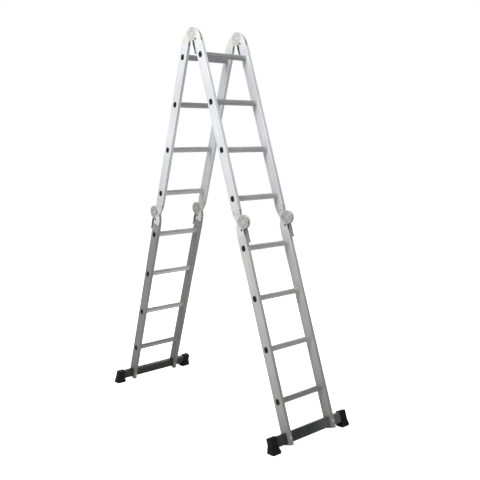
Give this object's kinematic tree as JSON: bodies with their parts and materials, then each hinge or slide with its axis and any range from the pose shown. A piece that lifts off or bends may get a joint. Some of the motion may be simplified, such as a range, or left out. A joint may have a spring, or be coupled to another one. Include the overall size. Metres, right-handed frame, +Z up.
{
  "type": "multi position ladder",
  "caption": "Folding aluminium multi position ladder standing as an A-frame, with hinged sections, release levers, ribbed rungs and a shod stabiliser bar on each leg.",
  "frame": {"origin": "on the floor, under the middle of the standing frame", "axes": "+X along the rungs, +Y from the front legs to the back legs, +Z up"},
  "size_m": [0.604, 1.5808, 2.2577],
  "materials": {
    "extruded_aluminium": "satin mill finish with faint lengthwise drawing lines",
    "ribbed_aluminium": "satin, ribbed tread",
    "bar_aluminium": "satin, darker",
    "zinc_plate": "zinc plated, slightly yellow",
    "zinc_fastener": "zinc plated",
    "spring_steel": "oiled wire",
    "lever_steel": "dark grey satin",
    "black_plastic": "moulded, matte",
    "black_rubber": "moulded, matte"
  },
  "bodies": {
    "lower_front": {"rail_lower_front_left": "extruded_aluminium", "rail_lower_front_right": "extruded_aluminium", "rung_lower_front_1": "ribbed_aluminium", "rung_lower_front_2": "ribbed_aluminium", "rung_lower_front_3": "ribbed_aluminium", "rung_lower_front_4": "ribbed_aluminium", "rung_plugs_lower_front": "black_plastic", "rivets_lower_front": "zinc_fastener", "stabiliser_bar_front": "bar_aluminium", "bar_shoes_front": "black_rubber", "hinge_fork_mid_front_left": "zinc_plate", "hinge_fork_mid_front_right": "zinc_plate", "hinge_pins_mid_front": "zinc_fastener", "lever_springs_mid_front": "spring_steel"},
    "upper_front": {"rail_upper_front_left": "extruded_aluminium", "rail_upper_front_right": "extruded_aluminium", "rung_upper_front_1": "ribbed_aluminium", "rung_upper_front_2": "ribbed_aluminium", "rung_upper_front_3": "ribbed_aluminium", "rung_upper_front_4": "ribbed_aluminium", "rung_plugs_upper_front": "black_plastic", "rivets_upper_front": "zinc_fastener", "hinge_tongue_mid_front_left": "zinc_plate", "hinge_tongue_mid_front_right": "zinc_plate", "hinge_fork_top_left": "zinc_plate", "hinge_fork_top_right": "zinc_plate", "hinge_pins_top": "zinc_fastener", "lever_springs_top": "spring_steel"},
    "lower_back": {"rail_lower_back_left": "extruded_aluminium", "rail_lower_back_right": "extruded_aluminium", "rung_lower_back_1": "ribbed_aluminium", "rung_lower_back_2": "ribbed_aluminium", "rung_lower_back_3": "ribbed_aluminium", "rung_lower_back_4": "ribbed_aluminium", "rung_plugs_lower_back": "black_plastic", "rivets_lower_back": "zinc_fastener", "stabiliser_bar_back": "bar_aluminium", "bar_shoes_back": "black_rubber", "hinge_fork_mid_back_left": "zinc_plate", "hinge_fork_mid_back_right": "zinc_plate", "hinge_pins_mid_back": "zinc_fastener", "lever_springs_mid_back": "spring_steel"},
    "upper_back": {"rail_upper_back_left": "extruded_aluminium", "rail_upper_back_right": "extruded_aluminium", "rung_upper_back_1": "ribbed_aluminium", "rung_upper_back_2": "ribbed_aluminium", "rung_upper_back_3": "ribbed_aluminium", "rung_upper_back_4": "ribbed_aluminium", "rung_plugs_upper_back": "black_plastic", "rivets_upper_back": "zinc_fastener", "hinge_tongue_mid_back_left": "zinc_plate", "hinge_tongue_mid_back_right": "zinc_plate", "hinge_tongue_top_left": "zinc_plate", "hinge_tongue_top_right": "zinc_plate"},
    "release_lever_mid_front_left": {"release_lever_mid_front_left": "lever_steel"},
    "release_lever_mid_front_right": {"release_lever_mid_front_right": "lever_steel"},
    "release_lever_mid_back_left": {"release_lever_mid_back_left": "lever_steel"},
    "release_lever_mid_back_right": {"release_lever_mid_back_right": "lever_steel"},
    "release_lever_top_left": {"release_lever_top_left": "lever_steel"},
    "release_lever_top_right": {"release_lever_top_right": "lever_steel"}
  },
  "joints": [
    {"name": "top_hinge", "type": "hinge", "parent": "upper_front", "child": "upper_back", "pos_m": [0, 0, 2.21874], "axis": [-1, 0, 0], "range_deg": [-144, 36]},
    {"name": "front_mid_hinge", "type": "hinge", "parent": "upper_front", "child": "lower_front", "pos_m": [0, -0.42599, 1.17951], "axis": [-1, 0, 0], "range_deg": [0, 180]},
    {"name": "back_mid_hinge", "type": "hinge", "parent": "upper_back", "child": "lower_back", "pos_m": [0, 0.42599, 1.17951], "axis": [1, 0, 0], "range_deg": [0, 180]},
    {"name": "press_lever_mid_front_left", "type": "hinge", "parent": "lower_front", "child": "release_lever_mid_front_left", "pos_m": [-0.167, -0.41298, 1.13218], "axis": [1, 0, 0], "range_deg": [0, 8], "stiffness_Nm_per_rad": 2, "springref_deg": -8.59},
    {"name": "press_lever_mid_front_right", "type": "hinge", "parent": "lower_front", "child": "release_lever_mid_front_right", "pos_m": [0.167, -0.41298, 1.13218], "axis": [1, 0, 0], "range_deg": [0, 8], "stiffness_Nm_per_rad": 2, "springref_deg": -8.59},
    {"name": "press_lever_mid_back_left", "type": "hinge", "parent": "lower_back", "child": "release_lever_mid_back_left", "pos_m": [0.167, 0.41298, 1.13218], "axis": [-1, 0, 0], "range_deg": [0, 8], "stiffness_Nm_per_rad": 2, "springref_deg": -8.59},
    {"name": "press_lever_mid_back_right", "type": "hinge", "parent": "lower_back", "child": "release_lever_mid_back_right", "pos_m": [-0.167, 0.41298, 1.13218], "axis": [-1, 0, 0], "range_deg": [0, 8], "stiffness_Nm_per_rad": 2, "springref_deg": -8.59},
    {"name": "press_lever_top_left", "type": "hinge", "parent": "upper_front", "child": "release_lever_top_left", "pos_m": [-0.167, -0.03835, 2.18809], "axis": [-1, 0, 0], "range_deg": [0, 8], "stiffness_Nm_per_rad": 2, "springref_deg": -8.59},
    {"name": "press_lever_top_right", "type": "hinge", "parent": "upper_front", "child": "release_lever_top_right", "pos_m": [0.167, -0.03835, 2.18809], "axis": [-1, 0, 0], "range_deg": [0, 8], "stiffness_Nm_per_rad": 2, "springref_deg": -8.59}
  ]
}
